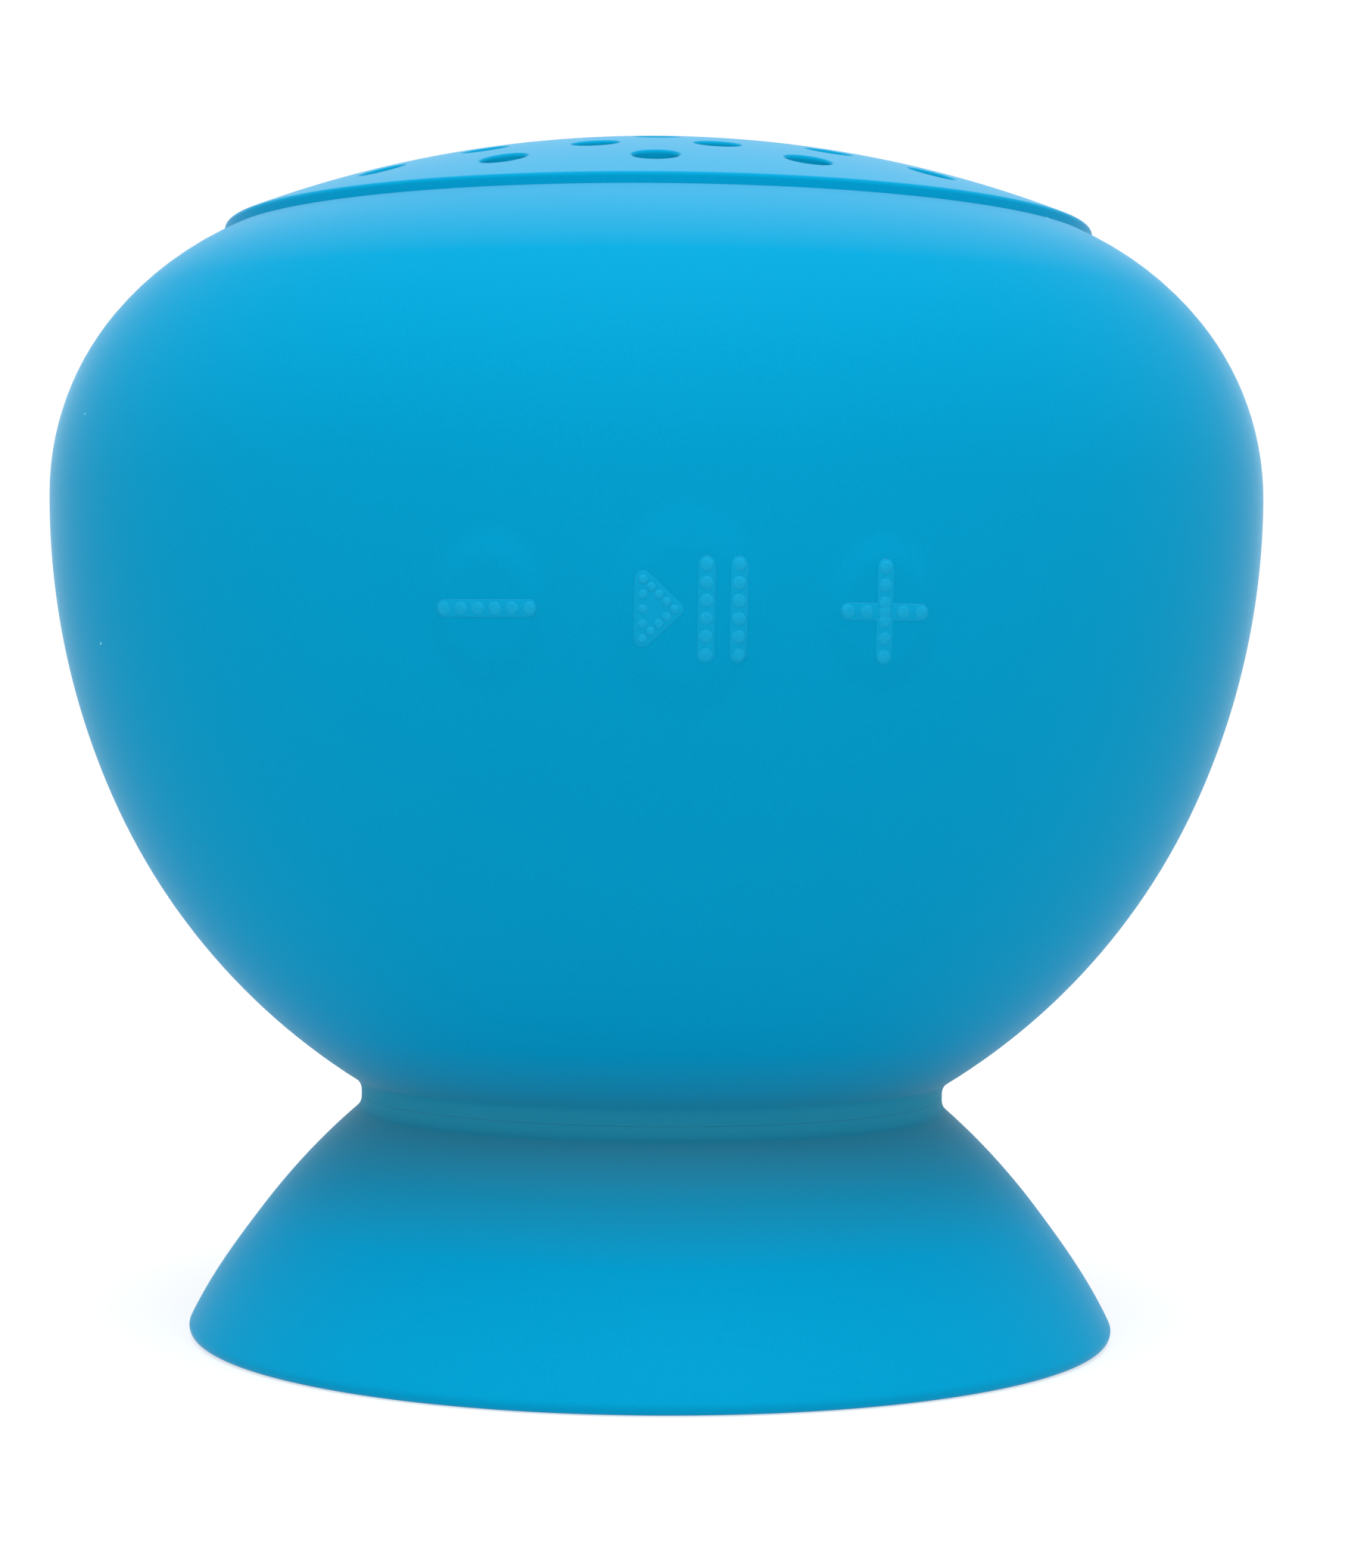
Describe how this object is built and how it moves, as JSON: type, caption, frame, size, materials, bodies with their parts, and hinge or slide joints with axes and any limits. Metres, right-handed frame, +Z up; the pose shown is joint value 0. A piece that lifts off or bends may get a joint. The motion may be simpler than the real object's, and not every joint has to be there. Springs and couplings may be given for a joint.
{
  "type": "shower speaker",
  "caption": "Round silicone-skinned waterproof speaker with a perforated domed top, three soft keys on the front and a suction foot.",
  "frame": {"origin": "centre of the suction foot's rim, on the plane that it rests on", "axes": "+Z up through the sound holes, the keys face -Y, the charging port faces +Y, +X is to the right of someone who looks at the keys"},
  "size_m": [0.066, 0.066, 0.0649],
  "materials": {
    "silicone_skin": "matt moulded silicone",
    "silicone_foot": "matt moulded silicone, glossy inside the cup",
    "silicone_keys": "matt silicone with beaded marks",
    "shell_abs": "moulded ABS, fine spark texture",
    "black_plastic": "moulded nylon",
    "white_plastic": "moulded nylon",
    "clear_plastic": "frosted acrylic",
    "seal_rubber": "butyl rubber",
    "foam": "closed-cell foam",
    "mesh_cloth": "water-repellent woven mesh",
    "spider_cloth": "resin-treated cotton",
    "paper_cone": "pressed paper pulp",
    "former_film": "polyimide film",
    "copper_wire": "enamelled copper wire",
    "ferrite": "sintered ferrite",
    "brass": "tinned brass",
    "plated_steel": "zinc plated",
    "screw_steel": "nickel plated",
    "can_aluminium": "drawn cans",
    "circuit_board": "solder mask over FR4",
    "chip_resin": "moulded epoxy",
    "flat_cable": "polyimide flat cable",
    "foil_pouch": "laminated foil",
    "red_wire": "PVC insulation",
    "black_wire": "PVC insulation"
  },
  "bodies": {
    "cup": {"suction_cup": "silicone_foot"},
    "head": {"cup_stud": "black_plastic", "stud_screw": "screw_steel", "silicone_jacket": "silicone_skin", "upper_shell": "shell_abs", "lower_shell": "shell_abs", "shell_seal": "seal_rubber", "shell_screws": "screw_steel", "acoustic_mesh": "mesh_cloth", "driver_gasket": "foam", "driver_basket": "plated_steel", "driver_magnet": "ferrite", "driver_top_plate": "plated_steel", "driver_yoke": "plated_steel", "driver_terminals": "brass", "driver_screws": "screw_steel", "driver_surround": "seal_rubber", "driver_spider": "spider_cloth", "main_board": "circuit_board", "main_board_screws": "screw_steel", "radio_chip": "chip_resin", "amplifier_chip": "chip_resin", "power_inductor": "ferrite", "board_capacitors": "can_aluminium", "crystal": "plated_steel", "chip_antenna": "white_plastic", "usb_socket": "plated_steel", "usb_tongue": "chip_resin", "switch_housing": "black_plastic", "status_led": "white_plastic", "led_light_pipe": "clear_plastic", "key_board": "circuit_board", "tact_switches": "black_plastic", "key_board_screws": "screw_steel", "key_ribbon": "flat_cable", "ribbon_connector": "white_plastic", "battery_cell": "foil_pouch", "battery_board": "circuit_board", "battery_pad": "foam", "battery_wires": "red_wire", "battery_connector": "white_plastic", "speaker_wires": "black_wire"},
    "cone": {"driver_cone": "paper_cone", "dust_cap": "paper_cone", "voice_coil_former": "former_film", "voice_coil": "copper_wire"},
    "key_minus_body": {"key_minus": "silicone_keys", "plunger_minus": "black_plastic"},
    "key_play_body": {"key_play": "silicone_keys", "plunger_play": "black_plastic"},
    "key_plus_body": {"key_plus": "silicone_keys", "plunger_plus": "black_plastic"},
    "power_switch": {"power_slider": "black_plastic"},
    "flap": {"port_flap": "silicone_skin"}
  },
  "joints": [
    {"name": "cup_press", "type": "slide", "parent": "cup", "child": "head", "axis": [0, 0, -1], "range_m": [0, 0.004], "stiffness_N_per_m": 4000, "springref_m": -0.001, "deforming": ["suction_cup"]},
    {"name": "cone_excursion", "type": "slide", "parent": "head", "child": "cone", "axis": [0, 0, 1], "range_m": [-0.001, 0.001], "stiffness_N_per_m": 800, "deforming": ["driver_surround", "driver_spider"]},
    {"name": "key_minus_press", "type": "slide", "parent": "head", "child": "key_minus_body", "axis": [0, 1, 0], "range_m": [0, 0.0004], "stiffness_N_per_m": 1500, "springref_m": -0.0003},
    {"name": "key_play_press", "type": "slide", "parent": "head", "child": "key_play_body", "axis": [0, 1, 0], "range_m": [0, 0.0004], "stiffness_N_per_m": 1500, "springref_m": -0.0003},
    {"name": "key_plus_press", "type": "slide", "parent": "head", "child": "key_plus_body", "axis": [0, 1, 0], "range_m": [0, 0.0004], "stiffness_N_per_m": 1500, "springref_m": -0.0003},
    {"name": "switch_slide", "type": "slide", "parent": "head", "child": "power_switch", "axis": [1, 0, 0], "range_m": [0, 0.002]},
    {"name": "flap_hinge", "type": "hinge", "parent": "head", "child": "flap", "pos_m": [0, 0.03093, 0.03275], "axis": [-1, 0, 0], "range_deg": [0, 110], "stiffness_Nm_per_rad": 0.002, "springref_deg": -8.59}
  ]
}
